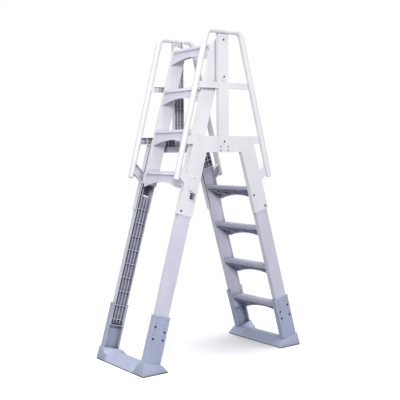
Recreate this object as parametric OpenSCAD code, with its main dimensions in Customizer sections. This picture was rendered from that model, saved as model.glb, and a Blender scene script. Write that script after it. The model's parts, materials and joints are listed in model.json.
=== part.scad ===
// A-frame ladder for an above-ground pool, in moulded resin.
// +X runs from the entry side to the pool side, +Y to the far side, +Z up.
// The origin is on the ground at the middle of the ladder.
// "Leg frame" means local z up along a leg's centreline, local x across it, inwards.

/* [Overall] */
// Lean of each leg from the vertical, degrees
lean = 16; // [15:0.5:17]
// Distance from the middle to a leg's centreline at the ground
foot_x = 600; // [590:1:620]
// Underside of the crosspiece that straddles the pool wall
crosspiece_low = 1371; // [1368:1:1376]
// Height of the crosspiece
crosspiece_h = 104; // [98:1:110]
// Rise from one step to the next
riser = 276; // [270:1:278]

/* [Legs] */
// Width of a leg across the ladder's side
leg_w = 98; // [94:1:100]
// Inner face of a leg, from the middle plane
leg_in = 230; // [229:0.5:231]
// Outer face of a leg, from the middle plane
leg_out = 265; // [263:0.5:265]
// Wall thickness of the mouldings
wall = 3.5; // [3:0.25:4]

/* [Side panels] */
// Width of a panel's leg, which wraps the ladder's leg
panel_leg_w = 116; // [114:1:120]
// Outer face of a side panel, from the middle plane
panel_out = 269; // [268.5:0.5:270]

/* [Handrails] */
// Outer radius of the handrail tube
rail_r = 19; // [17:0.5:20]
// Height of the top of the handrail's centreline
rail_top = 2152; // [2130:1:2160]
// Centreline radius of the handrail's top bend
rail_bend = 48; // [44:1:60]
// Slope of a handrail leg from the vertical, degrees
rail_lean = 14.75; // [14:0.25:15.5]

/* [Steps] */
// Height of a step's apron at its ends
apron_h = 100; // [95:1:104]
// Height of a step's apron in the middle of its arch
arch_h = 66; // [60:1:74]
// Height of a step's front lip
lip_h = 27; // [22:1:30]

/* [Sliding flight] */
// Travel of the sliding flight down the entry legs
slide_travel = 977; // [960:1:980]
// Outer face of a stringer, from the middle plane
stringer_out = 228; // [226:0.5:228]
// Inner face of a stringer, from the middle plane
stringer_in = 205; // [200:0.5:206]

/* [Feet] */
// Pitch of the adjustment holes in the sleeves
hole_pitch = 25; // [24:0.5:26]
// Width of a sleeve
sleeve_w = 120; // [118:1:124]
// Length of a base along the ladder's width
base_l = 576; // [570:1:580]

/* [Hidden] */
$fn = 48;

resin = [0.88, 0.87, 0.92];
resin_mid = [0.78, 0.78, 0.86];
resin_blue = [0.66, 0.70, 0.80];
dark_metal = [0.22, 0.22, 0.26];
steel = [0.68, 0.69, 0.71];
rubber = [0.16, 0.16, 0.18];

post_play = 0.5;
t_lean = tan(lean);
c_lean = cos(lean);
crosspiece_top = crosspiece_low + crosspiece_h;
panel_depth = 33;
panel_in = panel_out - wall;
panel_end = 1011;
entry_leg_top = 1498;
pool_leg_top = 1311;
leg_end = 222;
track_end = leg_end + 4;
rib = 3;
leg_rib_u = [-24, 0, 24];
rib_face = 238;
ear_x = 340;
ear_low = 1425;
strut = [[290, 1228], [362, 1302], [380, 1236], [304, 1160]];

rail_y = 268;
rail_corner_x = 136;
rail_wall = 3;
rail_end_z = 1208;
rail_seam = 0.8;
bend_angle = 90 - rail_lean;
bend_x = rail_corner_x - rail_bend * tan(bend_angle / 2);
bend_end_x = bend_x + rail_bend * cos(rail_lean);
bend_end_z = rail_top - rail_bend + rail_bend * sin(rail_lean);
rail_leg_l = (bend_end_z - rail_end_z) / cos(rail_lean);

post_w = 82;
post_in = 238;
post_out = 265.3;
post_low = 1425;
post_bolt_z = [1440, 1858, 2096];
mid_rail_z = 1784;
mid_rail_h = 39;
mid_rail_in = 246;
mid_rail_out = 261.5;

deck_top = 1409;
deck_x = 135;
deck_h = deck_top - 1370;
deck_tenon_x = 45;

step_count = 4;
pool_step_z = [for (k = [1 : step_count]) deck_top - k * riser];
entry_step_z = [for (k = [0 : step_count - 1]) pool_step_z[3] + slide_travel * c_lean + k * riser];
step_gap = 1;
bumper_h = 9;
stringer_high = 2174;
runner_l = 70;
runner_starts = [track_end + bumper_h + 1 + slide_travel, 1400];
stringer_low = runner_starts[0] - 17;

latch_s = 1215;
latch_r = 6;
pocket = [2, 1118, 40, 45];
cover = [-18, 1170, 40, 99];

sleeve_low = 52;
sleeve_high = 369;
sleeve_out = 270;
sleeve_in = 231;
sleeve_wall = 4;
base_top = 72;
sole_h = 6;
skirt_out = 662;
skirt_in = 476;
ridge_out = 604;
ridge_in = 552;
ridge_h = 50;
sweep_from = 196;
hole_rows = [for (k = [0 : 8]) sleeve_low + 97 + k * hole_pitch];
hole_u = 38;
hole_r = 4.2;
bolt_r = 4;

leg_bolt_s = 1035;
brace_bolt_s = 1134;
deck_screw_x = [-30, 30];
deck_screw_z = [1382, 1406];
latch_screw_s = [1182, 1257];
nut_h = 5.5;
bolt_tip = 254.5;

// ---------- placing ----------

// Puts a shape from the leg frame on the entry side.
module on_entry_leg() {
    translate([-foot_x, 0, 0]) rotate([0, lean, 0]) children();
}

// Puts a shape from the leg frame on the pool side.
module on_pool_leg() {
    mirror([1, 0, 0]) on_entry_leg() children();
}

// Shapes are drawn on the far side, and the near side mirrors them.
module near() {
    mirror([0, 1, 0]) children();
}

module both_ends() {
    children();
    near() children();
}

module both_sides() {
    children();
    mirror([1, 0, 0]) children();
}

// A box from its lowest and highest corners.
module block(low, high) {
    translate(low) cube(high - low);
}

// A flat outline drawn in X and Z, thick from y0 to y1.
module plate(y0, y1) {
    translate([0, y1, 0]) rotate([90, 0, 0]) linear_extrude(y1 - y0) children();
}

// A round pin along Y, at x and z, from y0 to y1.
module y_pin(x, z, r, y0, y1) {
    translate([x, y1, z]) rotate([90, 0, 0]) cylinder(r = r, h = y1 - y0);
}

// A low domed head along Y that stands out from y0.
module y_head(x, z, r, y0, h) {
    translate([x, y0, z]) rotate([-90, 0, 0]) {
        cylinder(r = r, h = h * 0.55);
        translate([0, 0, h * 0.55 - 0.01]) cylinder(r1 = r, r2 = r * 0.6, h = h * 0.45);
    }
}

// ---------- side panels ----------

// The strip that a leg covers in the side view.
module leg_strip(w, s0, s1) {
    translate([-foot_x, 0]) rotate(-lean) translate([-w / 2, s0]) square([w, s1 - s0]);
}

// The panel's outline; inset shrinks every member by that much all round.
module panel_outline(inset) {
    intersection() {
        union() {
            both_sides() leg_strip(panel_leg_w - 2 * inset, panel_end - (inset > 0 ? 1 : 0), 1700);
        }
        translate([-foot_x, 0]) square([2 * foot_x, crosspiece_top - inset]);
    }
    half_x = 200;
    translate([-half_x, crosspiece_low + inset]) square([2 * half_x, crosspiece_h - 2 * inset]);
    translate([-ear_x, ear_low + inset])
        square([2 * ear_x, crosspiece_top - ear_low - 2 * inset]);
    both_sides() polygon([
        [strut[0][0], strut[0][1] - inset * 1.41],
        [strut[1][0], strut[1][1] - inset * 1.41],
        [strut[2][0], strut[2][1] + inset * 1.41],
        [strut[3][0], strut[3][1] + inset * 1.41]
    ]);
}

// A straight stretch of hollow tube along local z, a hair slimmer than the bend it laps into.
module tube(l) {
    lap = 1;
    step = 0.1;
    translate([0, 0, -lap]) difference() {
        cylinder(r = rail_r - step, h = l + lap);
        translate([0, 0, -1]) cylinder(r = rail_r - rail_wall + step, h = l + lap + 2);
    }
}

// The long straight leg of the handrail, used to cut saddles for it.
module rail_saddle() {
    both_sides() translate([bend_end_x, rail_y, bend_end_z]) rotate([0, 180 - rail_lean, 0])
        cylinder(r = rail_r + 0.2, h = rail_leg_l + 40);
}

// What lies past the middle of the handrail, which the ears don't reach.
module past_rail() {
    both_sides() translate([bend_end_x, rail_y, bend_end_z]) rotate([0, 180 - rail_lean, 0])
        translate([-401, -60, -10]) cube([400, 90, rail_leg_l + 100]);
}

module side_panel() {
    difference() {
        plate(panel_out - panel_depth, panel_out) panel_outline(0);
        plate(panel_out - panel_depth - 1, panel_in) panel_outline(wall);
        // way in for the post
        block([-post_w / 2 - post_play, 230, crosspiece_top - 5], [post_w / 2 + post_play, panel_in, 1480]);
        rail_saddle();
        past_rail();
        panel_holes();
    }
    panel_ribs();
}

module panel_holes() {
    y_pin(0, post_bolt_z[0], hole_r, 250, 280);
    for (x = deck_screw_x, z = deck_screw_z) y_pin(x, z, 2.6, 250, 280);
    on_entry_leg() {
        y_pin(-hole_u, leg_bolt_s, hole_r, 250, 280);
        y_pin(0, latch_s, 5, 250, 280);
        latch_window();
        latch_screw_holes(1.6, 280);
    }
    on_pool_leg() {
        y_pin(-hole_u, leg_bolt_s, hole_r, 250, 280);
        y_pin(hole_u, brace_bolt_s, hole_r, 250, 280);
    }
}

module latch_window() {
    block([pocket[0], 258, pocket[1]], [pocket[0] + pocket[2], 280, pocket[1] + pocket[3]]);
}

module latch_screw_holes(r, y1) {
    for (s = latch_screw_s) y_pin(2, s, r, 258, y1);
}

module panel_ribs() {
    y0 = panel_out - panel_depth + 3;
    y1 = panel_in + 0.5;
    both_sides() {
        for (x = [60, 95, 129])
            block([x - rib / 2, y0, crosspiece_low + 1], [x + rib / 2, y1, crosspiece_top - 1]);
        block([268, y0, ear_low + 1], [268 + rib, y1, crosspiece_top - 1]);
    }
    // open ribbed stretch above the pool leg's end
    on_pool_leg() {
        for (u = leg_rib_u)
            block([u - rib / 2, y0, pool_leg_top + 4], [u + rib / 2, y1, 1425]);
        for (s = [1322, 1356, 1390, 1422])
            block([-panel_leg_w / 2 + 1, y0, s], [panel_leg_w / 2 - 1, y1, s + rib]);
    }
}

// ---------- posts, handrails, mid rails ----------

module post() {
    inner_x = post_w / 2 - wall;
    difference() {
        block([-post_w / 2, post_in, post_low], [post_w / 2, post_out, rail_top]);
        block([-inner_x, post_in - 1, post_low - 1], [inner_x, post_out - wall, rail_top + 1]);
        translate([-60, rail_y, rail_top]) rotate([0, 90, 0]) cylinder(r = rail_r + 0.2, h = 120);
        block([-60, 200, rail_top - 8], [60, 300, rail_top + 30]);
        for (x = [-16, 16])
            block([x - 1.5, post_out - 1.2, crosspiece_top + 3], [x + 1.5, post_out + 1, 2070]);
        for (z = post_bolt_z) y_pin(0, z, hole_r, 250, 290);
        mid_rail_window();
    }
    difference() {
        union() {
            for (x = [-13, 13])
                block([x - rib / 2, 244, post_low + 40], [x + rib / 2, post_out - wall + 0.5, 2118]);
            for (z = [post_low + 45 : 104 : 2110])
                block([-inner_x - 0.5, 244, z], [inner_x + 0.5, post_out - wall + 0.5, z + rib]);
        }
        mid_rail_window();
        for (z = post_bolt_z) y_pin(0, z, 9, 240, 263);
    }
    difference() {
        y_pin(0, post_bolt_z[1], 24, post_out - 0.5, post_out + 3);
        y_pin(0, post_bolt_z[1], hole_r, 250, 290);
    }
}

module mid_rail_window() {
    block([-60, 230, mid_rail_z - 0.5], [60, mid_rail_out + 0.2, mid_rail_z + mid_rail_h + 0.5]);
}

module mid_rail() {
    reach = bend_end_x + (bend_end_z - mid_rail_z) * tan(rail_lean);
    difference() {
        block([-reach, mid_rail_in, mid_rail_z], [reach, mid_rail_out, mid_rail_z + mid_rail_h]);
        block([-reach + 32, mid_rail_in - 1, mid_rail_z + 3],
              [reach - 32, mid_rail_out - 3, mid_rail_z + mid_rail_h - 3]);
        block([-reach - 1, mid_rail_out - 1, mid_rail_z + 14],
              [reach + 1, mid_rail_out + 1, mid_rail_z + mid_rail_h - 14]);
        rail_saddle();
        past_rail();
    }
    for (x = [-150 : 50 : 150])
        block([x - 1, mid_rail_in + 2, mid_rail_z + 1],
              [x + 1, mid_rail_out - 2.5, mid_rail_z + mid_rail_h - 1]);
}

// The handrail's top bend as a solid of radius r, turned past both its ends.
module top_bend(r, past) {
    translate([bend_x, rail_y, rail_top - rail_bend]) rotate([90, 0, 0])
        rotate([0, 0, rail_lean - past])
            rotate_extrude(angle = bend_angle + 2 * past) translate([rail_bend, 0]) circle(r = r);
}

// One half of a handrail: a level stretch, the top bend and a long leg, all hollow.
module handrail_half() {
    translate([bend_x, rail_y, rail_top]) rotate([0, -90, 0]) tube(bend_x - rail_seam / 2);
    difference() {
        top_bend(rail_r, 0);
        top_bend(rail_r - rail_wall, 2);
    }
    translate([bend_end_x, rail_y, bend_end_z]) rotate([0, 180 - rail_lean, 0]) tube(rail_leg_l);
}

module handrail_joiner() {
    translate([-45, rail_y, rail_top]) rotate([0, 90, 0]) difference() {
        cylinder(r = rail_r - rail_wall - 0.2, h = 90);
        translate([0, 0, -1]) cylinder(r = rail_r - rail_wall - 3, h = 92);
    }
}

module end_plug() {
    translate([bend_end_x, rail_y, bend_end_z]) rotate([0, 180 - rail_lean, 0])
        translate([0, 0, rail_leg_l]) {
            cylinder(r = rail_r, h = 4);
            translate([0, 0, 4 - 0.01]) cylinder(r1 = rail_r, r2 = rail_r - 5, h = 3);
            translate([0, 0, -14]) cylinder(r = rail_r - rail_wall - 0.2, h = 14.01);
        }
}

// ---------- deck ----------

module top_deck() {
    low = deck_top - deck_h;
    difference() {
        union() {
            block([-deck_x, -stringer_out, low], [deck_x, stringer_out, deck_top]);
            both_ends()
                block([-deck_tenon_x, stringer_out - 1, low + 5], [deck_tenon_x, 265, deck_top + 6]);
        }
        block([-deck_x + 4, -stringer_out + 4, low - 1], [deck_x - 4, stringer_out - 4, deck_top - 4]);
        both_ends()
            block([-deck_tenon_x + 4, stringer_out + 3, low], [deck_tenon_x - 4, 259, deck_top + 2]);
        both_ends() for (x = deck_screw_x, z = deck_screw_z) y_pin(x, z, 2.6, 250, 280);
        for (x = [-110 : 22 : 110])
            block([x - 1.5, -stringer_out + 14, deck_top - 1], [x + 1.5, stringer_out - 14, deck_top + 1]);
    }
    for (y = [-180 : 60 : 180])
        block([-deck_x + 3, y - rib / 2, low + 3], [deck_x - 3, y + rib / 2, deck_top - 3]);
    for (x = [-65, 0, 65])
        block([x - rib / 2, -stringer_out + 3, low + 3],
              [x + rib / 2, stringer_out - 3, deck_top - 3]);
}

// ---------- steps ----------

// Front and back of a step at a depth below its tread, following the leg's lean.
function step_front(d) = -(leg_w / 2 + 2) / c_lean - d * t_lean;
function step_back(d) = (leg_w / 2) / c_lean - d * t_lean;
nose = 5;
back_lip = 20;
step_screw_x = [-46, -12];
step_screw_z = -40;

// The side outline of a step, with the origin on the leg's centreline at tread height.
module step_outline() {
    polygon([
        [step_front(0) - nose, 0],
        [step_front(lip_h) - nose, -lip_h],
        [step_front(lip_h), -lip_h],
        [step_front(apron_h), -apron_h],
        [step_front(apron_h) + 10, -apron_h],
        [step_back(back_lip), -back_lip],
        [step_back(0), 0]
    ]);
}

// The open space under the tread, behind the apron.
module step_hollow_outline() {
    apron_t = 5.5;
    deep = apron_h + 5;
    polygon([
        [step_front(4) + apron_t, -4],
        [step_front(deep) + apron_t, -deep],
        [step_back(back_lip) + 1, -deep],
        [step_back(back_lip) + 1, -back_lip - 1],
        [step_back(back_lip) - 4, -back_lip - 1],
        [step_back(4) - 4, -4]
    ]);
}

// The arch cut under a step: depth is where its crown is, span where it meets the ends.
module arch(depth, half) {
    rise = apron_h - depth;
    span = half - 22;
    r = (span * span + rise * rise) / (2 * rise);
    translate([-200, 0, -depth - r]) rotate([0, 90, 0]) cylinder(r = r, h = 400, $fn = 180);
}

// One step with its tread at height z; half is half its width.
module ladder_step(z, half) {
    translate([-foot_x + z * t_lean, 0, z]) {
        difference() {
            plate(-half, half) step_outline();
            plate(-half + 4, half - 4) step_hollow_outline();
            arch(arch_h, half);
            step_front_panel(half);
            for (x = [-44 : 11 : 40])
                block([x - 1.2, -half + 14, -1], [x + 1.2, half - 14, 1]);
            both_ends() for (x = step_screw_x) y_pin(x, step_screw_z, 2.6, half - 6, half + 1);
        }
        intersection() {
            plate(-half + 3, half - 3) step_outline();
            step_ribs(half);
            difference() {
                block([-200, -half, -apron_h + 2], [200, half, -2]);
                translate([0, 0, 2.5]) arch(arch_h, half);
                plate(-half, half) step_front_skin();
                both_ends() for (x = step_screw_x) y_pin(x, step_screw_z, 6, half - 8, half - 4);
            }
        }
    }
}

// A thin skin at the very front, which the ribs don't reach.
module step_front_skin() {
    polygon([
        [step_front(0) - 20, 0],
        [step_front(apron_h) - 20, -apron_h],
        [step_front(apron_h) + 3, -apron_h],
        [step_front(0) + 3, 0]
    ]);
}

// Sunk panel in the apron, inside a raised border.
module step_front_panel(half) {
    border = 13;
    difference() {
        rotate([0, lean, 0])
            block([-leg_w / 2 - 12, -half + border, -apron_h - 20],
                  [-leg_w / 2 - 2 + 1.6, half - border, -(lip_h + 5) / c_lean]);
        arch(arch_h - border + 3, half);
    }
}

// Cross-braced ribs, seen from below and behind.
module step_ribs(half) {
    bays = 4;
    bay = 2 * half / bays;
    for (k = [0 : bays - 1]) {
        y = -half + (k + 0.5) * bay;
        for (turn = [-1, 1])
            translate([-10, y, -apron_h]) rotate([0, 0, turn * 42])
                translate([-rib / 2, -bay, 0]) cube([rib, 2 * bay, apron_h - 2]);
        gusset_y = -half + k * bay;
        if (k > 0) block([-150, gusset_y - rib / 2, -apron_h], [80, gusset_y + rib / 2, -2]);
    }
}

// The screws that hold one step's ends, from inside the step.
module step_screws(z, half, reach) {
    translate([-foot_x + z * t_lean, 0, z]) both_ends() for (x = step_screw_x) {
        y_pin(x, step_screw_z, 2.5, half - 4, half + reach);
        y_pin(x, step_screw_z, 5, half - 6.5, half - 4);
    }
}

// ---------- legs ----------

// The ribbed channel of an entry leg, in the leg frame, which is also the flight's track.
module entry_leg() {
    half = leg_w / 2;
    y1 = leg_out - wall + 0.5;
    on_entry_leg() difference() {
        union() {
            difference() {
                block([-half, leg_in, leg_end], [half, leg_out, entry_leg_top]);
                block([-half + wall, leg_in - 1, track_end],
                      [half - wall, leg_out - wall, entry_leg_top + 1]);
            }
            for (u = leg_rib_u)
                block([u - rib / 2, rib_face, leg_end + 2], [u + rib / 2, y1, entry_leg_top]);
            for (s = [leg_end + 40 : 95 : entry_leg_top - 10])
                block([-half + 2, rib_face, s], [half - 2, y1, s + rib]);
        }
        // clear space for the latch and for the bumper
        block([-12, leg_in - 1, pocket[1] - 6], [half - wall, leg_out - wall, latch_s + 16]);
        block([-half + wall, leg_in - 1, track_end], [half - wall, leg_out - wall, track_end + 11]);
        y_pin(0, latch_s, 4.3, 250, 280);
        latch_window();
        latch_screw_holes(1.6, 280);
        y_pin(-hole_u, leg_bolt_s, hole_r, 250, 280);
        for (h = adjust_places) y_pin(h[0], h[1], hole_r, 250, 280);
    }
}

// A pool leg is a closed box with a sunk, smooth inner face.
module pool_leg() {
    half = leg_w / 2;
    on_pool_leg() {
        difference() {
            block([-half, leg_in, leg_end], [half, leg_out, pool_leg_top]);
            block([-half + wall, rib_face + wall, leg_end + wall],
                  [half - wall, leg_out - wall, pool_leg_top - wall]);
            block([-half + 6, leg_in - 1, leg_end + 6], [half - 6, rib_face, pool_leg_top - 6]);
            y_pin(-hole_u, leg_bolt_s, hole_r, 250, 280);
            y_pin(hole_u, brace_bolt_s, hole_r, 250, 280);
            for (h = adjust_places) y_pin(h[0], h[1], hole_r, 250, 280);
        }
        // bosses that the step screws bite into
        for (z = pool_step_z, x = step_screw_x)
            y_pin(x * c_lean - step_screw_z * sin(lean),
                  z / c_lean + x * sin(lean) + step_screw_z * c_lean, 8, leg_in, rib_face + 1);
    }
}

// ---------- sliding flight ----------

module stringer() {
    half = leg_w / 2;
    on_entry_leg() difference() {
        block([-half - 2, stringer_in, stringer_low], [half, stringer_out, stringer_high]);
        block([-half + 1, stringer_in + 3, stringer_low + 3],
              [half - 3, stringer_out - 3, stringer_high - 3]);
        y_pin(0, latch_s, 8, stringer_out - 4, stringer_out + 2);
    }
}

// Pairs of runners leave a path between them for the latch bolt.
module runners() {
    on_entry_leg() for (s = runner_starts, side = [-1, 1]) difference() {
        block([side > 0 ? 12 : -44.5, stringer_out, s], [side > 0 ? 44.5 : -12, 237, s + runner_l]);
        for (ds = [16, runner_l - 16]) {
            y_pin(side * 28, s + ds, 2.1, stringer_out - 1, 240);
            y_pin(side * 28, s + ds, 4.6, 234, 240);
        }
    }
}

module runner_screw_set() {
    on_entry_leg() for (s = runner_starts, side = [-1, 1], ds = [16, runner_l - 16]) {
        y_pin(side * 28, s + ds, 2, stringer_out, 234.01);
        y_pin(side * 28, s + ds, 4.4, 234, 236.4);
    }
}

// Rubber stop at the bottom of the track.
module bumper() {
    on_entry_leg()
        block([-40, leg_in + 2, track_end], [40, leg_out - wall, track_end + bumper_h]);
}

// ---------- latches ----------

// A flat outline with rounded corners, in the leg frame's x and z.
// at holds the x and z of its low corner, its width and its height; grow widens it all round.
module rounded_plate(at, grow, r, y0, y1) {
    x = at[0] - grow;
    z = at[1] - grow;
    w = at[2] + 2 * grow;
    h = at[3] + 2 * grow;
    plate(y0, y1) {
        translate([x + r, z]) square([w - 2 * r, h]);
        translate([x, z + r]) square([w, h - 2 * r]);
        for (cx = [x + r, x + w - r], cz = [z + r, z + h - r]) translate([cx, cz]) circle(r = r);
    }
}

module latch_cover() {
    on_entry_leg() difference() {
        union() {
            rounded_plate(cover, 0, 8, panel_out, panel_out + 7);
            rounded_plate(cover, -2, 6, panel_out, panel_out + 9);
            rounded_plate(pocket, 4, 4, panel_out, panel_out + 2);
        }
        y_pin(0, latch_s, 8, panel_out - 1, panel_out + 6);
        latch_window();
        latch_screw_holes(1.6, 285);
    }
}

// The sliding bolt: a stout tip towards the flight and a thin guided stem.
module latch_bolt() {
    on_entry_leg() {
        y_pin(0, latch_s, latch_r, 230.5, 251);
        y_pin(0, latch_s, latch_r - 1.2, 229, 230.6);
        y_pin(0, latch_s, 4, 250.9, 270);
    }
}

// The pull tab: a carrier plate behind the panel, and a finger tongue in the window.
module latch_tab() {
    on_entry_leg() difference() {
        union() {
            rounded_plate([-9, 1124, 38, 102], 0, 6, 247, 251);
            rounded_plate([15, 1123, 14, 34], 0, 5, 250.9, 262);
        }
        y_pin(0, latch_s, latch_r, 240, 260);
    }
}

// The latch's spring, pressed nearly solid, as rings round the stem.
module latch_spring() {
    wire = 0.7;
    on_entry_leg() for (k = [0 : 3])
        translate([0, 251.1 + wire + k * (2 * wire + 0.05), latch_s]) rotate([90, 0, 0])
            rotate_extrude() translate([5.6, 0]) circle(r = wire, $fn = 16);
}

// ---------- feet ----------

module sleeve() {
    half = sleeve_w / 2;
    difference() {
        union() {
            difference() {
                block([-half, sleeve_in, sleeve_low], [half, sleeve_out, sleeve_high]);
                block([-half + sleeve_wall, sleeve_in - 1, sleeve_low - 1],
                      [half - sleeve_wall, sleeve_out - sleeve_wall, sleeve_high + 1]);
            }
            // guide ribs that bear on the leg's edges
            for (side = [-1, 1], y = [sleeve_in + 1, 246, 260])
                block([side > 0 ? leg_w / 2 + 0.6 : -half + 1, y, sleeve_low + 30],
                      [side > 0 ? half - 1 : -leg_w / 2 - 0.6, y + rib, sleeve_high - 6]);
            // raised rim at the mouth
            for (side = [-1, 1])
                block([side > 0 ? half - 1 : -half - 2, sleeve_in, sleeve_high - 9],
                      [side > 0 ? half + 2 : -half + 1, sleeve_out + 1.5, sleeve_high]);
            block([-half - 2, sleeve_out - 1, sleeve_high - 9], [half + 2, sleeve_out + 1.5, sleeve_high]);
        }
        for (u = [-hole_u, hole_u], s = hole_rows) y_pin(u, s, hole_r, 255, 280);
    }
}

// The rows that hold a bolt at rest, as [across, up].
adjust_places = [
    [-hole_u, hole_rows[6]], [-hole_u, hole_rows[3]],
    [hole_u, hole_rows[5]], [hole_u, hole_rows[3]]
];

module adjust_bolt_set() {
    for (h = adjust_places) {
        y_pin(h[0], h[1], bolt_r, 266, sleeve_out + 0.01);
        y_head(h[0], h[1], 7.5, sleeve_out, 5);
    }
}

// The base's long section: a low ridge between wide skirts.
module ridge_outline() {
    polygon([[-skirt_out, sole_h], [-ridge_out, ridge_h], [-ridge_in, ridge_h], [-skirt_in, sole_h]]);
}

// The top corners of the raised end's section, which is cut square to the leg.
function socket_top(u) = [
    -foot_x + base_top * sin(lean) + u * c_lean,
    base_top * c_lean - u * sin(lean)
];
socket_u = sleeve_w / 2 + 7;

module socket_outline() {
    polygon([[-skirt_out, sole_h], socket_top(-socket_u), socket_top(socket_u), [-skirt_in, sole_h]]);
}

// The base's long side view: raised ends that sweep down to the ridge.
module base_side_outline() {
    sweep_r = 50;
    sweep_y = 174;
    end_h = 100;
    end_y = base_l / 2 - 12;
    end_w = base_l / 2 - sweep_y;
    intersection() {
        union() {
            translate([-base_l / 2, sole_h]) square([base_l, ridge_h - sole_h]);
            for (side = [-1, 1]) difference() {
                translate([side > 0 ? sweep_y : -base_l / 2, sole_h]) square([end_w, end_h - sole_h]);
                translate([side * sweep_y, ridge_h + sweep_r]) circle(r = sweep_r, $fn = 96);
            }
        }
        polygon([[-base_l / 2, sole_h], [-end_y, end_h], [end_y, end_h], [base_l / 2, sole_h]]);
    }
}

// Cuts an extruded outline to the base's side view.
module in_side_view() {
    intersection() {
        children();
        translate([-skirt_out - 1, 0, 0]) rotate([90, 0, 90])
            linear_extrude(skirt_out - skirt_in + 2) base_side_outline();
    }
}

module base() {
    flank = 12;
    roof = 5;
    pocket_h = 20;
    pocket_y = 224;
    difference() {
        union() {
            in_side_view() plate(-base_l / 2, base_l / 2) ridge_outline();
            both_ends() in_side_view() {
                plate(sweep_from, base_l / 2) socket_outline();
                sweep_blend();
            }
        }
        // hollow from below
        plate(-sweep_from, sweep_from) polygon([
            [-skirt_out + flank, 0],
            [-skirt_out + flank, sole_h],
            [-ridge_out + 3, ridge_h - roof],
            [-ridge_in - 3, ridge_h - roof],
            [-skirt_in - flank, sole_h],
            [-skirt_in - flank, 0]
        ]);
        both_ends() plate(sweep_from + 5, pocket_y) polygon([
            [-skirt_out + flank, 0],
            [-skirt_out + flank + 2, pocket_h],
            [-skirt_in - 2 * flank, pocket_h],
            [-skirt_in - flank, 0]
        ]);
        both_ends() on_entry_leg()
            block([-sleeve_w / 2 - 0.4, sleeve_in - 1, sleeve_low],
                  [sleeve_w / 2 + 0.4, sleeve_out + 0.4, 160]);
    }
    for (y = [-150 : 50 : 150])
        plate(y - rib / 2, y + rib / 2) polygon([
            [-skirt_out + flank - 2, sole_h],
            [-ridge_out + 2, ridge_h - 3],
            [-ridge_in - 2, ridge_h - 3],
            [-skirt_in - flank + 4, sole_h]
        ]);
}

// Slanted shoulders that carry the raised end down to the ridge's skirts.
module sweep_blend() {
    steps = 6;
    reach = 40;
    outer_fall = [31, -38];
    inner_fall = [-36, 0];
    for (k = [0 : steps - 1]) {
        f = k / steps;
        y1 = sweep_from - f * reach;
        y0 = y1 - reach / steps - 0.01;
        plate(y0, y1) polygon([
            [-skirt_out, sole_h],
            socket_top(-socket_u) + f * outer_fall,
            socket_top(socket_u) + f * inner_fall,
            [-skirt_in, sole_h]
        ]);
    }
}

module sole() {
    difference() {
        block([-skirt_out, -base_l / 2, 0], [-skirt_in, base_l / 2, sole_h]);
        for (y = [-270 : 20 : 270])
            block([-skirt_out - 1, y - 2, -1], [-skirt_in + 1, y + 2, 1.2]);
    }
}

// ---------- fasteners of the frame ----------

module frame_bolt(u, s) {
    y_pin(u, s, bolt_r, bolt_tip, panel_out + 0.01);
    y_head(u, s, 7, panel_out, 5);
}

module frame_nut(x, z, y) {
    translate([x, y + nut_h, z]) rotate([90, 0, 0]) difference() {
        cylinder(r = 6.6, h = nut_h, $fn = 6);
        translate([0, 0, -1]) cylinder(r = bolt_r + 0.05, h = 8);
    }
}

module post_bolt(z, face) {
    y_pin(0, z, bolt_r, bolt_tip, face + 0.01);
    y_head(0, z, 6.5, face, 4.5);
}

function post_face(k) = k == 0 ? panel_out : (k == 1 ? post_out + 3 : post_out);

// ---------- nodes ----------

module near_side_panel() color(resin) near() side_panel();
module far_side_panel() color(resin_mid) side_panel();
module near_post() color(resin) near() post();
module far_post() color(resin_mid) post();
module near_handrail_entry() color(resin) near() mirror([1, 0, 0]) handrail_half();
module near_handrail_pool() color(resin) near() handrail_half();
module far_handrail_entry() color(resin_mid) mirror([1, 0, 0]) handrail_half();
module far_handrail_pool() color(resin_mid) handrail_half();
module handrail_joiners() color(resin_mid) both_ends() handrail_joiner();
module handrail_end_plugs() color(resin_mid) both_sides() both_ends() end_plug();
module near_mid_rail() color(resin) near() mid_rail();
module far_mid_rail() color(resin_mid) mid_rail();
module deck_node() color(resin_mid) top_deck();
module near_entry_leg() color(resin_mid) near() entry_leg();
module far_entry_leg() color(resin_blue) entry_leg();
module near_pool_leg() color(resin_mid) near() pool_leg();
module far_pool_leg() color(resin_mid) pool_leg();
module pool_step(k) color(resin_blue) mirror([1, 0, 0])
    ladder_step(pool_step_z[k], leg_in - step_gap);
module entry_step(k) color(resin_mid) ladder_step(entry_step_z[k], stringer_in);
module near_stringer() color(resin) near() stringer();
module far_stringer() color(resin_blue) stringer();
module near_runners() color(resin_mid) near() runners();
module far_runners() color(resin_mid) runners();
module near_latch_cover() color(resin) near() latch_cover();
module far_latch_cover() color(resin_mid) latch_cover();
module near_latch_bolt() color(steel) near() latch_bolt();
module far_latch_bolt() color(steel) latch_bolt();
module near_latch_tab() color(resin) near() latch_tab();
module far_latch_tab() color(resin) latch_tab();
module near_latch_spring() color(steel) near() latch_spring();
module far_latch_spring() color(steel) latch_spring();
module front_base() color(resin_blue) base();
module rear_base() color(resin_blue) mirror([1, 0, 0]) base();
module front_sole() color(rubber) sole();
module rear_sole() color(rubber) mirror([1, 0, 0]) sole();
module near_front_sleeve() color(resin_blue) near() on_entry_leg() sleeve();
module far_front_sleeve() color(resin_blue) on_entry_leg() sleeve();
module near_rear_sleeve() color(resin_blue) near() on_pool_leg() sleeve();
module far_rear_sleeve() color(resin_blue) on_pool_leg() sleeve();
module slide_bumpers() color(rubber) both_ends() bumper();
module leg_bolts() color(dark_metal) both_ends() {
    on_entry_leg() frame_bolt(-hole_u, leg_bolt_s);
    on_pool_leg() {
        frame_bolt(-hole_u, leg_bolt_s);
        frame_bolt(hole_u, brace_bolt_s);
    }
}
module post_bolts() color(dark_metal) both_ends()
    for (k = [0 : 2]) post_bolt(post_bolt_z[k], post_face(k));
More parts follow.
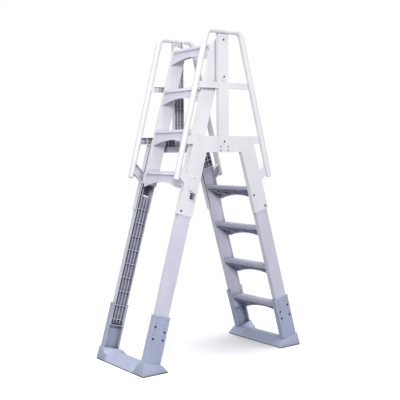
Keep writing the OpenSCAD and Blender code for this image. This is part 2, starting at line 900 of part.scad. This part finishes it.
module frame_nuts() color(steel) both_ends() {
    on_entry_leg() frame_nut(-hole_u, leg_bolt_s, leg_out - wall - nut_h - 0.1);
    on_pool_leg() {
        frame_nut(-hole_u, leg_bolt_s, leg_out - wall - nut_h - 0.1);
        frame_nut(hole_u, brace_bolt_s, leg_out - wall - nut_h - 0.1);
    }
    for (z = post_bolt_z) frame_nut(0, z, post_out - wall - nut_h - 0.1);
}
module deck_screws() color(dark_metal) both_ends() for (x = deck_screw_x, z = deck_screw_z) {
    y_pin(x, z, 2.5, 259.5, panel_out + 0.01);
    y_head(x, z, 4.5, panel_out, 3);
}
module pool_step_screws() color(steel) mirror([1, 0, 0])
    for (z = pool_step_z) step_screws(z, leg_in - step_gap, 8);
module entry_step_screws() color(steel) for (z = entry_step_z) step_screws(z, stringer_in, 3);
module runner_screws() color(steel) both_ends() runner_screw_set();
module latch_screws() color(dark_metal) both_ends() on_entry_leg() for (s = latch_screw_s) {
    y_pin(2, s, 1.5, 262, panel_out + 9.01);
    y_head(2, s, 3, panel_out + 9, 1.6);
}
module front_adjust_bolts() color(dark_metal) both_ends() on_entry_leg() adjust_bolt_set();
module rear_adjust_bolts() color(dark_metal) both_ends() on_pool_leg() adjust_bolt_set();

near_side_panel();
far_side_panel();
near_post();
far_post();
near_handrail_entry();
near_handrail_pool();
far_handrail_entry();
far_handrail_pool();
handrail_joiners();
handrail_end_plugs();
near_mid_rail();
far_mid_rail();
deck_node();  // top_deck
near_entry_leg();
far_entry_leg();
near_pool_leg();
far_pool_leg();
pool_step(0);  // pool_step_1
pool_step(1);  // pool_step_2
pool_step(2);  // pool_step_3
pool_step(3);  // pool_step_4
near_stringer();
far_stringer();
near_runners();
far_runners();
entry_step(0);  // entry_step_1
entry_step(1);  // entry_step_2
entry_step(2);  // entry_step_3
entry_step(3);  // entry_step_4
near_latch_cover();
far_latch_cover();
near_latch_bolt();
far_latch_bolt();
near_latch_tab();
far_latch_tab();
near_latch_spring();
far_latch_spring();
front_base();
rear_base();
front_sole();
rear_sole();
near_front_sleeve();
far_front_sleeve();
near_rear_sleeve();
far_rear_sleeve();
slide_bumpers();
leg_bolts();
post_bolts();
frame_nuts();
deck_screws();
pool_step_screws();
entry_step_screws();
runner_screws();
latch_screws();
front_adjust_bolts();
rear_adjust_bolts();
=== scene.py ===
"""Looks for the A-frame pool ladder: mouldings, tubes, fasteners, materials and light."""
import json
import math

import bmesh
import bpy
from mathutils import Matrix, Vector


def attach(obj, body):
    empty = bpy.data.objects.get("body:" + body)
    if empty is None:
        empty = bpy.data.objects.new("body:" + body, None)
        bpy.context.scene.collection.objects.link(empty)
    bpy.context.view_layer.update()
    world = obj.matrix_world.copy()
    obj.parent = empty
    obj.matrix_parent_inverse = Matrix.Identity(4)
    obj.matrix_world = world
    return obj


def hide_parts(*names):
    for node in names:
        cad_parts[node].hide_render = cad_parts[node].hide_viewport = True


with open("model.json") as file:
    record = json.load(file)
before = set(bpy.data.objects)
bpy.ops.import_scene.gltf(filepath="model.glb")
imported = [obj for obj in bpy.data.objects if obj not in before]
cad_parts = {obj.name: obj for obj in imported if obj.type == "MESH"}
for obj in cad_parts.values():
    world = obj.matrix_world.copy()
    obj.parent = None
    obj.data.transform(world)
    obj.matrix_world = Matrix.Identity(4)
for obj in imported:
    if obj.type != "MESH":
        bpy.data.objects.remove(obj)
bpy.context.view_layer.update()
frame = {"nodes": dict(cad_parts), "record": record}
nodes = frame["nodes"]

LEAN = math.radians(16.0)
FOOT_X = 0.600
HOLE_ACROSS = 0.038
LOWEST_HOLE, HOLE_PITCH = 0.149, 0.025
SLEEVE_FACE = 0.270


def turns(count):
    """Equal angles once round a circle."""
    return [2 * math.pi * k / count for k in range(count)]


# ---------- camera and light ----------

def aim(obj, target):
    """Points a light or camera at a place."""
    obj.rotation_euler = (Vector(target) - obj.location).to_track_quat("-Z", "Y").to_euler()


def add_camera():
    """The camera at the photograph's viewing angle."""
    place = Vector((-3.108, -4.162, 1.372))
    yaw, pitch, roll = math.radians(36.733), math.radians(3.594), -0.0081
    level = math.cos(pitch)
    look = Vector((math.sin(yaw) * level, math.cos(yaw) * level, -math.sin(pitch)))
    right = look.cross(Vector((0, 0, 1))).normalized()
    up = right.cross(look)
    x_axis = right * math.cos(roll) + up * math.sin(roll)
    y_axis = up * math.cos(roll) - right * math.sin(roll)
    data = bpy.data.cameras.new("camera")
    data.sensor_width = 36.0
    data.lens = 68.63
    data.clip_end = 100.0
    cam = bpy.data.objects.new("camera", data)
    cam.matrix_world = Matrix((
        (x_axis.x, y_axis.x, -look.x, place.x),
        (x_axis.y, y_axis.y, -look.y, place.y),
        (x_axis.z, y_axis.z, -look.z, place.z),
        (0, 0, 0, 1),
    ))
    bpy.context.scene.collection.objects.link(cam)
    bpy.context.scene.camera = cam


def add_area(name, place, target, size, watts, colour=(1, 1, 1)):
    """A round soft light, aimed at a place."""
    data = bpy.data.lights.new(name, "AREA")
    data.shape = "DISK"
    data.size = size
    data.energy = watts
    data.color = colour
    light = bpy.data.objects.new(name, data)
    light.location = place
    aim(light, target)
    bpy.context.scene.collection.objects.link(light)


def show_to_camera(tree, usual, shown, output):
    """Joins two shaders: one lights the object, the other is what is seen directly."""
    path = tree.nodes.new("ShaderNodeLightPath")
    mixed = tree.nodes.new("ShaderNodeMixShader")
    tree.links.new(path.outputs["Is Camera Ray"], mixed.inputs[0])
    tree.links.new(usual.outputs[0], mixed.inputs[1])
    tree.links.new(shown.outputs[0], mixed.inputs[2])
    tree.links.new(mixed.outputs[0], tree.nodes[output].inputs["Surface"])


def add_studio():
    """A white surround, two soft lights and a white floor."""
    world = bpy.data.worlds.new("studio")
    world.use_nodes = True
    tree = world.node_tree
    ambient = tree.nodes["Background"]
    ambient.inputs["Color"].default_value = (0.92, 0.93, 1.0, 1)
    ambient.inputs["Strength"].default_value = 0.46
    backdrop = tree.nodes.new("ShaderNodeBackground")
    backdrop.inputs["Color"].default_value = (1.0, 1.0, 1.0, 1)
    show_to_camera(tree, ambient, backdrop, "World Output")
    bpy.context.scene.world = world
    bpy.context.scene.view_settings.view_transform = "Standard"
    add_area("key", (-2.1, -3.3, 2.9), (-0.1, -0.2, 1.3), 1.1, 112, (1.0, 0.99, 0.97))
    add_area("overhead", (0.0, 0.0, 7.5), (0, 0, 0), 6.0, 560)
    add_floor()


def add_floor():
    """A round floor that shows white; it throws less light back on the object than it seems to."""
    mesh = bpy.data.meshes.new("floor")
    radius, count = 2.4, 96
    rim = [(radius * math.cos(a), radius * math.sin(a), 0) for a in turns(count)]
    mesh.from_pydata(rim, [], [tuple(range(count))])
    floor = bpy.data.objects.new("floor", mesh)
    mat = bpy.data.materials.new("floor")
    mat.use_nodes = True
    tree = mat.node_tree
    shader = tree.nodes["Principled BSDF"]
    shader.inputs["Base Color"].default_value = (0.93, 0.93, 0.93, 1)
    shader.inputs["Roughness"].default_value = 0.9
    dim = tree.nodes.new("ShaderNodeBsdfDiffuse")
    dim.inputs["Color"].default_value = (0.42, 0.43, 0.47, 1)
    show_to_camera(tree, dim, shader, "Material Output")
    mesh.materials.append(mat)
    bpy.context.scene.collection.objects.link(floor)


# ---------- materials ----------

class Nodes:
    """Short helper for building a material's node tree."""

    def __init__(self, name):
        self.mat = bpy.data.materials.new(name)
        self.mat.use_nodes = True
        self.tree = self.mat.node_tree
        self.shader = self.tree.nodes["Principled BSDF"]
        self.place = self.tree.nodes.new("ShaderNodeTexCoord").outputs["Object"]

    def node(self, kind, **inputs):
        made = self.tree.nodes.new("ShaderNode" + kind)
        for key, value in inputs.items():
            socket = made.inputs[key.replace("_", " ")]
            if isinstance(value, bpy.types.NodeSocket):
                self.tree.links.new(value, socket)
            else:
                socket.default_value = value
        return made

    def noise(self, scale, detail=4.0, roughness=0.55, stretch=(1, 1, 1)):
        mapped = self.node("Mapping", Vector=self.place, Scale=stretch)
        return self.node("TexNoise", Vector=mapped.outputs[0], Scale=scale, Detail=detail,
                         Roughness=roughness).outputs["Fac"]

    def ramp(self, value, stops):
        made = self.node("ValToRGB", Fac=value)
        ramp = made.color_ramp
        while len(ramp.elements) < len(stops):
            ramp.elements.new(0.5)
        for element, (position, colour) in zip(ramp.elements, stops):
            element.position = position
            element.color = (*colour, 1) if len(colour) == 3 else colour
        return made.outputs["Color"]

    def mix(self, fac, a, b, blend="MIX"):
        made = self.tree.nodes.new("ShaderNodeMix")
        made.data_type = "RGBA"
        made.blend_type = blend
        for index, value in ((0, fac), (6, a), (7, b)):
            if isinstance(value, bpy.types.NodeSocket):
                self.tree.links.new(value, made.inputs[index])
            else:
                made.inputs[index].default_value = value
        return made.outputs[2]

    def link(self, socket, name):
        self.tree.links.new(socket, self.shader.inputs[name])

    def edges(self):
        """A mask for the painted edge highlight: white along outer edges, where a rounded normal
        turns away from the flat one.
        """
        rounded = self.node("Bevel", Radius=0.0035)
        rounded.samples = 4
        flat = self.node("NewGeometry")
        turn = self.tree.nodes.new("ShaderNodeVectorMath")
        turn.operation = "DOT_PRODUCT"
        self.tree.links.new(rounded.outputs[0], turn.inputs[0])
        self.tree.links.new(flat.outputs["Normal"], turn.inputs[1])
        return self.ramp(turn.outputs["Value"], [(0.80, grey(1.0)), (0.985, grey(0.0))])

    def bump(self, height, strength, distance):
        made = self.node("Bump", Height=height, Strength=strength, Distance=distance)
        self.link(made.outputs["Normal"], "Normal")


def grey(v):
    return (v, v, v)


# Pale tone of the painted edge highlight.
PAINTED_EDGE_HIGHLIGHT = (0.88, 0.875, 0.90)


def resin(name, colour, shade, painted_shade_colour, roughness=0.42, grain=0.25, painted_shade_reach=0.045):
    """Moulded resin with colour drift, flow marks, specks, painted shade in corners and hollows, a
    painted highlight along edges, and grain.
    """
    n = Nodes(name)
    drift = n.noise(3.0, 3.0, 0.6)
    flow = n.noise(9.0, 5.0, 0.6, stretch=(1.0, 1.0, 0.18))
    base = n.ramp(drift, [(0.3, shade), (0.7, colour)])
    marks = n.ramp(flow, [(0.35, grey(0.93)), (0.62, grey(1.0))])
    base = n.mix(1.0, base, marks, "MULTIPLY")
    specks = n.ramp(n.noise(260.0, 2.0), [(0.62, grey(1.0)), (0.74, grey(0.93))])
    base = n.mix(0.5, base, specks, "MULTIPLY")
    # Painted shade: ambient occlusion pulls the colour towards a dark tone in corners, hollows and
    # gaps between parts.
    corner = n.node("AmbientOcclusion", Distance=painted_shade_reach)
    corner.samples = 8
    painted_shade_mask = n.ramp(corner.outputs["AO"], [(0.10, grey(0.0)), (0.68, grey(1.0))])
    base = n.mix(painted_shade_mask, (*painted_shade_colour, 1), base)
    # Painted highlight: outer edges lighten towards a pale tone, in noisy patches.
    highlight_patches = n.ramp(n.noise(18.0, 4.0), [(0.30, grey(0.25)), (0.65, grey(0.75))])
    painted_highlight_mask = n.mix(1.0, n.edges(), highlight_patches, "MULTIPLY")
    base = n.mix(painted_highlight_mask, base, (*PAINTED_EDGE_HIGHLIGHT, 1))
    n.link(base, "Base Color")
    scuff = n.ramp(n.noise(26.0, 6.0, 0.7, stretch=(1, 1, 0.35)),
                   [(0.42, grey(roughness)), (0.68, grey(roughness + 0.16))])
    n.link(scuff, "Roughness")
    fine = n.noise(900.0, 3.0, 0.6)
    n.bump(fine, grain, 0.0006)
    n.shader.inputs["Specular IOR Level"].default_value = 0.45
    return n.mat


def rubber_material():
    n = Nodes("rubber")
    base = n.ramp(n.noise(40.0, 4.0), [(0.3, (0.022, 0.022, 0.026)), (0.75, (0.05, 0.05, 0.056))])
    n.link(base, "Base Color")
    n.link(n.ramp(n.noise(120.0, 3.0), [(0.3, grey(0.62)), (0.7, grey(0.85))]), "Roughness")
    n.bump(n.noise(500.0, 3.0), 0.35, 0.0008)
    return n.mat


def metal(name, low, high, rough_low, rough_high, metallic):
    n = Nodes(name)
    n.link(n.ramp(n.noise(60.0, 5.0), [(0.3, low), (0.7, high)]), "Base Color")
    rough = [(0.3, grey(rough_low)), (0.7, grey(rough_high))]
    n.link(n.ramp(n.noise(150.0, 4.0), rough), "Roughness")
    n.shader.inputs["Metallic"].default_value = metallic
    n.bump(n.noise(700.0, 2.0), 0.12, 0.0004)
    return n.mat


# Colour, darker drift tone, painted-shade colour, roughness, grain and painted-shade reach of each
# resin.
RESINS = {
    # A darker copy of the step resin for the pool steps, painting the shade they stand in; its
    # painted shade in hollows also reaches further.
    "resin_step_painted_shade": ((0.47, 0.48, 0.59), (0.41, 0.42, 0.54), (0.045, 0.055, 0.09),
                        0.5, 0.4, 0.09),
    "resin_light": ((0.77, 0.76, 0.785), (0.75, 0.74, 0.785), (0.13, 0.135, 0.20)),
    "resin_step": ((0.66, 0.655, 0.745), (0.59, 0.585, 0.69), (0.17, 0.19, 0.28), 0.48, 0.35),
    "resin_foot": ((0.415, 0.455, 0.595), (0.39, 0.425, 0.56), (0.10, 0.12, 0.19), 0.45, 0.3),
    "resin_dark": ((0.05, 0.055, 0.10), (0.035, 0.04, 0.075), (0.01, 0.01, 0.02), 0.4, 0.3),
}
MATERIALS = {name: resin(name, *look) for name, look in RESINS.items()}
MATERIALS["rubber"] = rubber_material()
MATERIALS["dark_steel"] = metal("dark_steel", (0.03, 0.03, 0.036), (0.07, 0.07, 0.08),
                                0.35, 0.55, 0.6)
MATERIALS["steel"] = metal("steel", (0.50, 0.51, 0.54), (0.66, 0.67, 0.70), 0.25, 0.45, 1.0)

STEP_NUMBERS = (1, 2, 3, 4)
POOL_STEPS = {"pool_step_" + str(number): number for number in STEP_NUMBERS}
SLOT_OF = {part["node"]: part["material_slot"] for part in frame["record"]["subparts"]}
BODIES = frame["record"]["behaviour"]["bodies"]
BODY_OF = {node: body for body, names in BODIES.items() for node in names}


def dress(obj, node):
    """Gives a piece its node's material; the pool steps take a darker copy of their resin, which
    paints the shade they stand in.
    """
    # Painted shade: the pool steps take the darker copy of their resin.
    look = "resin_step_painted_shade" if node in POOL_STEPS else SLOT_OF[node]
    obj.data.materials.clear()
    obj.data.materials.append(MATERIALS[look])


# ---------- pieces ----------

def new_piece(name, mesh, node):
    """Puts a new piece in the scene in place of a CAD node, on that node's body and slot."""
    obj = bpy.data.objects.new(name, mesh)
    bpy.context.scene.collection.objects.link(obj)
    dress(obj, node)
    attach(obj, BODY_OF[node])
    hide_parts(node)
    return obj


def shade(mesh, degrees):
    """Smooth shading that stays sharp at edges over the given angle."""
    for polygon in mesh.polygons:
        polygon.use_smooth = True
    mesh.set_sharp_from_angle(angle=math.radians(degrees))


def baked(obj):
    """The object's mesh with its modifiers applied."""
    graph = bpy.context.evaluated_depsgraph_get()
    mesh = bpy.data.meshes.new_from_object(obj.evaluated_get(graph))
    obj.modifiers.clear()
    return mesh


def bevelled(obj, width, segments, degrees):
    """Adds a bevel on the edges over the given angle."""
    bevel = obj.modifiers.new("bevel", "BEVEL")
    bevel.width = width
    bevel.segments = segments
    bevel.limit_method = "ANGLE"
    bevel.angle_limit = math.radians(degrees)


def finished(bm, name):
    """The bmesh as a mesh, with its faces turned outward."""
    bmesh.ops.recalc_face_normals(bm, faces=bm.faces)
    mesh = bpy.data.meshes.new(name)
    bm.to_mesh(mesh)
    bm.free()
    return mesh


def band(bm, first, second):
    """Faces between two rings."""
    for k in range(len(first)):
        j = (k + 1) % len(first)
        bm.faces.new((first[k], first[j], second[j], second[k]))


def skin(bm, rings, capped=True):
    """Faces along a run of rings, and over its two ends."""
    for first, second in zip(rings, rings[1:]):
        band(bm, first, second)
    if capped:
        bm.faces.new(rings[0])
        bm.faces.new(rings[-1])


def combine(obj, bm, operation):
    """Adds a closed bmesh to a piece, or cuts it out."""
    cutter = bpy.data.objects.new("cutter", finished(bm, "cutter"))
    bpy.context.scene.collection.objects.link(cutter)
    cut = obj.modifiers.new("cut", "BOOLEAN")
    cut.object = cutter
    cut.operation = operation
    cut.solver = "EXACT"
    bpy.context.view_layer.update()
    obj.data = baked(obj)
    bpy.data.objects.remove(cutter)


def soften(node, width, change=None):
    """The CAD node's own mesh, changed first if need be, with its moulded edges rounded."""
    source = nodes[node].data
    bm = bmesh.new()
    bm.from_mesh(source)
    bmesh.ops.remove_doubles(bm, verts=bm.verts, dist=0.00002)
    bmesh.ops.dissolve_limit(bm, angle_limit=math.radians(0.6), verts=bm.verts, edges=bm.edges)
    mesh = bpy.data.meshes.new(node + "_soft")
    bm.to_mesh(mesh)
    bm.free()
    obj = new_piece(node + "_soft", mesh, node)
    if change:
        change(obj)
    bevelled(obj, width, 2, 40)
    normals = obj.modifiers.new("normals", "WEIGHTED_NORMAL")
    normals.keep_sharp = True
    shade(obj.data, 60)
    obj.data = baked(obj)
    dress(obj, node)


# ---------- places that follow the CAD ----------

def leg_frame(across, y, along, pool=False):
    """A point given in a leg's own frame: across it, along Y, and up its centreline."""
    x = -FOOT_X + across * math.cos(LEAN) + along * math.sin(LEAN)
    z = -across * math.sin(LEAN) + along * math.cos(LEAN)
    return Vector((-x if pool else x, y, z))


def both_ends(points):
    """Each (place, outward direction along Y) on the far side, and its mirror on the near side."""
    return [(Vector((p.x, side * p.y, p.z)), side) for p in points for side in (1, -1)]


def hole_row(number):
    """How far up the leg's centreline a row of adjusting holes is, counted from 0 at the bottom."""
    return LOWEST_HOLE + number * HOLE_PITCH


# ---------- steps ----------

RISER = 0.276
DECK_TOP = 1.409
STEP_HALF = 0.229
APRON_H, ARCH_H = 0.100, 0.066


def taper_ribs(obj, number):
    """Cuts the ribs under a pool step on a slope, from the apron's arch up to the tread's back."""
    tread_z = DECK_TOP - number * RISER
    cut_x = FOOT_X - tread_z * math.tan(LEAN) + 0.053 + ARCH_H * math.tan(LEAN) - 0.0065
    rise = APRON_H - ARCH_H
    span = STEP_HALF - 0.022
    radius = (span * span + rise * rise) / (2 * rise)
    slope, depth, points = math.tan(math.radians(21)), 0.104, 41
    low = tread_z - APRON_H - 0.04
    bm = bmesh.new()
    rings = []
    for along, flattening in ((0.0, 0.0), (depth, 0.55)):
        outline = []
        for k in range(points):
            y = span * (2 * k / (points - 1) - 1)
            sag = radius - math.sqrt(radius * radius - y * y)
            outline.append((y, tread_z - ARCH_H + 0.002 + slope * along - sag * (1 - flattening)))
        outline += [(span, low), (-span, low)]
        rings.append([bm.verts.new((cut_x - along, y, z)) for y, z in outline])
    skin(bm, rings)
    bmesh.ops.triangulate(bm, faces=bm.faces)
    combine(obj, bm, "DIFFERENCE")


# ---------- handrails ----------

RAIL_Y = 0.268
RAIL_TOP = 2.152
RAIL_R = 0.019
RAIL_WALL = 0.003
RAIL_BEND = 0.048
RAIL_LEAN = math.radians(14.75)
RAIL_END_Z = 1.208
CORNER_X = 0.136


def rail_path():
    """Points along a handrail half in X and Z, with the outward normal at each."""
    turn = math.pi / 2 - RAIL_LEAN
    bend_x = CORNER_X - RAIL_BEND * math.tan(turn / 2)
    path = [(0.0006, RAIL_TOP, 0.0, 1.0), (0.003, RAIL_TOP, 0.0, 1.0), (bend_x, RAIL_TOP, 0.0, 1.0)]
    segments = 22
    for k in range(1, segments + 1):
        a = turn * k / segments
        path.append((bend_x + RAIL_BEND * math.sin(a), RAIL_TOP - RAIL_BEND * (1 - math.cos(a)),
                     math.sin(a), math.cos(a)))
    x, z, nx, nz = path[-1]
    length = (z - RAIL_END_Z) / math.cos(RAIL_LEAN)
    for down in (0.25 * length, 0.5 * length, 0.75 * length, length):
        path.append((x + down * math.sin(RAIL_LEAN), z - down * math.cos(RAIL_LEAN), nx, nz))
    return path


def rail_ring(radius, groove):
    """Offsets round the tube as (outward, along Y); the groove runs down the inner side."""
    ring = []
    half_width, flank = 0.16, 0.10
    for a in turns(56):
        off = abs(a - math.pi)
        depth = groove * max(0.0, 1 - max(0.0, off - half_width) / flank)
        ring.append(((radius - depth) * math.cos(a), (radius - depth) * math.sin(a)))
    return ring


def handrail(node, end, side):
    """A smooth hollow tube: a level stretch, the top bend and a long leg."""
    bm = bmesh.new()
    path = rail_path()
    edge = 0.0008
    skins = []
    for radius, groove, drawn_in in ((RAIL_R, 0.0018, edge), (RAIL_R - RAIL_WALL, 0.0, 0.0)):
        rings = []
        for k, (x, z, nx, nz) in enumerate(path):
            r = radius - drawn_in if k in (0, len(path) - 1) else radius
            rings.append([bm.verts.new((end * (x + o * nx), side * (RAIL_Y + w), z + o * nz))
                          for o, w in rail_ring(r, groove)])
        skins.append(rings)
        skin(bm, rings, capped=False)
    outer, inner = skins
    band(bm, outer[0], inner[0])
    band(bm, outer[-1], inner[-1])
    mesh = finished(bm, node + "_tube")
    shade(mesh, 40)
    new_piece(mesh.name, mesh, node)


# ---------- fasteners ----------

def lathe(bm, centre, out, profile, socket=0.0):
    """Turns a profile of (distance along Y, radius) round Y, with a hexagonal socket in its end."""
    angles = turns(36)
    rings = []

    def ring(distance, radius_at):
        rings.append([bm.verts.new((centre.x + radius_at(a) * math.cos(a), centre.y + out * distance,
                                    centre.z + radius_at(a) * math.sin(a))) for a in angles])

    for distance, radius in profile:
        ring(distance, lambda a: radius)
    if socket:
        top = profile[-1][0]
        sixth = math.pi / 3
        for depth, size in ((0.0, socket), (0.0022, socket), (0.0027, socket * 0.5)):
            ring(top - depth, lambda a: size * math.cos(sixth / 2) / math.cos(a % sixth - sixth / 2))
    skin(bm, rings)


def bolt_profile(shank_r, shank_l, head_r, head_h):
    """A shank, a thin flange and a domed head, measured from the face that it bears on."""
    dome = [(0.0 + head_h * f, head_r * 0.86 * (1 - 0.30 * g))
            for f, g in ((0.30, 0.0), (0.62, 0.07), (0.84, 0.32), (0.96, 0.72), (1.0, 1.0))]
    return [(-shank_l, shank_r * 0.8), (-shank_l + shank_r * 0.25, shank_r), (0.0, shank_r),
            (0.0001, head_r), (head_h * 0.2, head_r * 0.985), (head_h * 0.28, head_r * 0.93)] + dome


def bolt_piece(node, sets):
    """All the bolts of a node, as (places, shank radius, shank length, head radius, head height)."""
    bm = bmesh.new()
    for places, shank_r, shank_l, head_r, head_h in sets:
        for place, out in both_ends(places):
            lathe(bm, place, out, bolt_profile(shank_r, shank_l, head_r, head_h), head_r * 0.42)
    mesh = finished(bm, node + "_turned")
    shade(mesh, 35)
    new_piece(mesh.name, mesh, node)


def add_fasteners():
    """Every bolt and screw that shows."""
    panel_face, cover_face = 0.269, 0.278
    leg, brace = 1.035, 1.134
    bolt_piece("leg_bolts", [([leg_frame(-HOLE_ACROSS, panel_face, leg),
                               leg_frame(-HOLE_ACROSS, panel_face, leg, True),
                               leg_frame(HOLE_ACROSS, panel_face, brace, True)],
                              0.004, 0.0145, 0.007, 0.005)])
    post_back = 0.2545
    bolt_piece("post_bolts", [([Vector((0, face, z))], 0.004, face - post_back, 0.0065, 0.0045)
                              for z, face in ((1.440, panel_face), (1.858, 0.2683), (2.096, 0.2653))])
    deck = [Vector((x, panel_face, z)) for x in (-0.030, 0.030) for z in (1.382, 1.406)]
    bolt_piece("deck_screws", [(deck, 0.0025, 0.0095, 0.0045, 0.003)])
    bolt_piece("latch_screws", [([leg_frame(0.002, cover_face, s) for s in (1.182, 1.257)],
                                 0.0015, 0.016, 0.003, 0.0016)])
    bolted = ((-HOLE_ACROSS, 6), (-HOLE_ACROSS, 3), (HOLE_ACROSS, 5), (HOLE_ACROSS, 3))
    for node, pool in (("front_adjust_bolts", False), ("rear_adjust_bolts", True)):
        places = [leg_frame(u, SLEEVE_FACE, hole_row(row), pool) for u, row in bolted]
        bolt_piece(node, [(places, 0.004, 0.004, 0.0075, 0.005)])


def latch_spring(node, side):
    """A short coil of round wire round the latch bolt's stem."""
    bm = bmesh.new()
    wire, radius, coils, pitch = 0.00068, 0.0056, 3.4, 0.00145
    per_coil, around = 28, 10
    centre = leg_frame(0, 0.25185, 1.215)
    rings = []
    for k in range(int(coils * per_coil) + 1):
        a = 2 * math.pi * k / per_coil
        out = Vector((math.cos(a), 0, math.sin(a)))
        middle = centre + out * radius + Vector((0, pitch * k / per_coil, 0))
        ring = []
        for b in turns(around):
            p = middle + out * (wire * math.cos(b)) + Vector((0, wire * math.sin(b), 0))
            ring.append(bm.verts.new((p.x, side * p.y, p.z)))
        rings.append(ring)
    skin(bm, rings)
    mesh = finished(bm, node + "_coil")
    shade(mesh, 60)
    new_piece(mesh.name, mesh, node)


# ---------- bases ----------

SKIRT_OUT, SKIRT_IN = -0.662, -0.476
RIDGE_OUT, RIDGE_IN, RIDGE_H = -0.604, -0.552, 0.050
SOLE_H = 0.006
BASE_HALF = 0.288
END_TOP_Y, END_H = 0.276, 0.100
SWEEP_Y, SWEEP_R = 0.174, 0.050
SOCKET_FROM, BLEND_REACH = 0.196, 0.040
SOCKET_TOP, SOCKET_HALF = 0.072, 0.067


def socket_corner(across):
    """A top corner of the socket block's section, in X and Z."""
    corner = leg_frame(across, 0, SOCKET_TOP)
    return Vector((corner.x, corner.z))


def base_section(y):
    """The base's outline in X and Z at a distance along Y: skirt, shoulders and top."""
    left, right = Vector((SKIRT_OUT, SOLE_H)), Vector((SKIRT_IN, SOLE_H))
    start = SOCKET_FROM - BLEND_REACH
    f = min(1.0, max(0.0, (y - start) / BLEND_REACH))
    f = f * f * (3 - 2 * f)
    a = Vector((RIDGE_OUT, RIDGE_H)).lerp(socket_corner(-SOCKET_HALF), f)
    b = Vector((RIDGE_IN, RIDGE_H)).lerp(socket_corner(SOCKET_HALF), f)
    top = END_H
    if y < SWEEP_Y:
        top = RIDGE_H
    elif y < SWEEP_Y + SWEEP_R:
        top = RIDGE_H + SWEEP_R - math.sqrt(SWEEP_R ** 2 - (y - SWEEP_Y) ** 2)
    high = min(top, a.y)
    up_left = left.lerp(a, (high - left.y) / (a.y - left.y))
    if a.y > high and a.y > b.y:
        along = min(1.0, max(0.0, (a.y - high) / (a.y - b.y)))
        crest = a.lerp(b, along)
    else:
        crest = a.lerp(b, 0.12)
    return [left, up_left, crest, b, right]


def base_piece(node, end):
    """A moulded foot: a low ridge between skirts that sweeps up into a socket block at each end."""
    bm = bmesh.new()
    level = [0.0, 0.05, 0.10, 0.14, 0.152]
    sweep = [0.156 + 0.004 * k for k in range(18)]
    block = [0.232, 0.245, 0.260, 0.2745]
    half = level + sweep + block
    ys = [-y for y in reversed(half[1:])] + half
    rings = [[bm.verts.new((end * -p.x, y, p.y)) for p in base_section(abs(y))] for y in ys]
    for side, at in ((-1, 0), (1, len(rings))):
        ring = []
        for p in base_section(BASE_HALF):
            y = BASE_HALF - (BASE_HALF - END_TOP_Y) * (p.y - SOLE_H) / (END_H - SOLE_H)
            ring.append(bm.verts.new((end * -p.x, side * y, p.y)))
        rings.insert(at, ring)
    skin(bm, rings)
    bmesh.ops.remove_doubles(bm, verts=bm.verts, dist=0.00005)
    mesh = finished(bm, node + "_moulding")
    obj = new_piece(mesh.name, mesh, node)
    cut_sockets(obj, end > 0)
    bevelled(obj, 0.0022, 3, 25)
    obj.data = baked(obj)
    shade(obj.data, 32)
    dress(obj, node)


def cut_sockets(obj, pool):
    """Cuts the slots that the sleeves stand in."""
    bm = bmesh.new()
    across, back, face, low, high = 0.0604, 0.230, 0.2704, 0.052, 0.160
    outline = ((-across, back), (-across, face), (across, face), (across, back))
    for side in (-1, 1):
        skin(bm, [[bm.verts.new(leg_frame(u, side * y, along, pool)) for u, y in outline]
                  for along in (low, high)])
    combine(obj, bm, "DIFFERENCE")


# ---------- sleeves ----------

def web_holes(obj, side, pool):
    """Closes the sleeve's lowest adjusting holes with a thin web, so that they are blind."""
    start, thickness, radius = 0.2664, 0.0012, 0.0046
    for across in (-HOLE_ACROSS, HOLE_ACROSS):
        for row in (0, 1, 2):
            bm = bmesh.new()
            place = leg_frame(across, side * start, hole_row(row), pool)
            lathe(bm, place, side, [(0.0, radius), (thickness, radius)])
            combine(obj, bm, "UNION")


# ---------- the scene ----------

add_camera()
add_studio()
for name, obj in nodes.items():
    dress(obj, name)

SIDES = (("near", -1), ("far", 1))
for near_far, side in SIDES:
    for flight, end in (("entry", -1), ("pool", 1)):
        handrail(near_far + "_handrail_" + flight, end, side)
    latch_spring(near_far + "_latch_spring", side)
base_piece("front_base", -1)
base_piece("rear_base", 1)
add_fasteners()

SOFT_EDGES = {
    0.0022: ["near_post", "far_post"],
    0.0016: ["near_side_panel", "far_side_panel", "top_deck", "near_mid_rail", "far_mid_rail",
             "near_stringer", "far_stringer", "front_sole", "rear_sole"],
    0.0012: ["near_entry_leg", "far_entry_leg", "near_pool_leg", "far_pool_leg", "near_latch_cover",
             "far_latch_cover", "near_latch_tab", "far_latch_tab", "handrail_end_plugs",
             "slide_bumpers"]
            + ["entry_step_" + str(number) for number in STEP_NUMBERS],
    0.0005: ["near_runners", "far_runners", "near_latch_bolt", "far_latch_bolt", "frame_nuts",
             "pool_step_screws", "entry_step_screws", "runner_screws", "handrail_joiners"],
}
for width, names in SOFT_EDGES.items():
    for name in names:
        soften(name, width)
for near_far, side in SIDES:
    for foot, pool in (("front", False), ("rear", True)):
        soften(near_far + "_" + foot + "_sleeve", 0.0016, lambda obj: web_holes(obj, side, pool))
for name, number in POOL_STEPS.items():
    soften(name, 0.0012, lambda obj: taper_ribs(obj, number))
